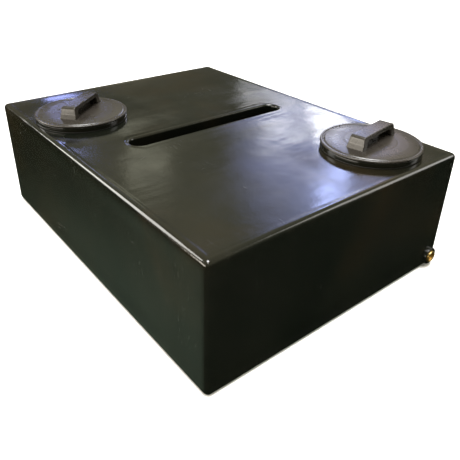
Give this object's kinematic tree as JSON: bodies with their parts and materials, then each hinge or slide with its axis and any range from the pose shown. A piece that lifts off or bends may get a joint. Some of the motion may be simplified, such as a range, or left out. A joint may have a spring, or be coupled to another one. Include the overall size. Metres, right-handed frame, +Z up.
{
  "type": "fresh water tank",
  "caption": "Flat baffled plastic water tank with a through slot, screw lids with bar handles on threaded neck rings, and a brass outlet low in one corner.",
  "frame": {"origin": "centre of the whole outline seen from above, outlet included, at the height of the underside", "axes": "+Y along the length, away from the outlet end; +X across the width, to the right seen from the outlet end; +Z up"},
  "size_m": [0.72, 0.9714, 0.349],
  "materials": {
    "tank_plastic": "satin, rotationally moulded, fine orange peel",
    "lid_plastic": "satin, injection moulded",
    "gasket_rubber": "matt",
    "outlet_brass": "turned, slightly tarnished",
    "screw_steel": "plain stainless"
  },
  "bodies": {
    "tank": {"tank_shell": "tank_plastic", "outlet_insert": "outlet_brass", "left_neck_gasket": "gasket_rubber", "left_neck_ring": "tank_plastic", "left_neck_screws": "screw_steel", "right_neck_gasket": "gasket_rubber", "right_neck_ring": "tank_plastic", "right_neck_screws": "screw_steel"},
    "left_seal": {"left_lid_seal": "gasket_rubber"},
    "left_lid": {"left_lid": "lid_plastic", "left_vent_screen": "screw_steel", "left_vent_retainer": "lid_plastic"},
    "right_seal": {"right_lid_seal": "gasket_rubber"},
    "right_lid": {"right_lid": "lid_plastic", "right_vent_screen": "screw_steel", "right_vent_retainer": "lid_plastic"}
  },
  "joints": [
    {"name": "left_lid_rise", "type": "slide", "parent": "tank", "child": "left_seal", "axis": [0, 0, 1], "range_m": [0, 0.04]},
    {"name": "left_lid_turn", "type": "hinge", "parent": "left_seal", "child": "left_lid", "pos_m": [-0.229, 0.25175, 0.3], "axis": [0, 0, 1], "range_deg": [0, 900]},
    {"name": "right_lid_rise", "type": "slide", "parent": "tank", "child": "right_seal", "axis": [0, 0, 1], "range_m": [0, 0.04]},
    {"name": "right_lid_turn", "type": "hinge", "parent": "right_seal", "child": "right_lid", "pos_m": [0.219, -0.33425, 0.3], "axis": [0, 0, 1], "range_deg": [0, 900]}
  ],
  "couplings": [
    {"joint": "left_lid_rise", "follows": "left_lid_turn", "m_per_rad": 0.0025465},
    {"joint": "right_lid_rise", "follows": "right_lid_turn", "m_per_rad": 0.0025465}
  ]
}
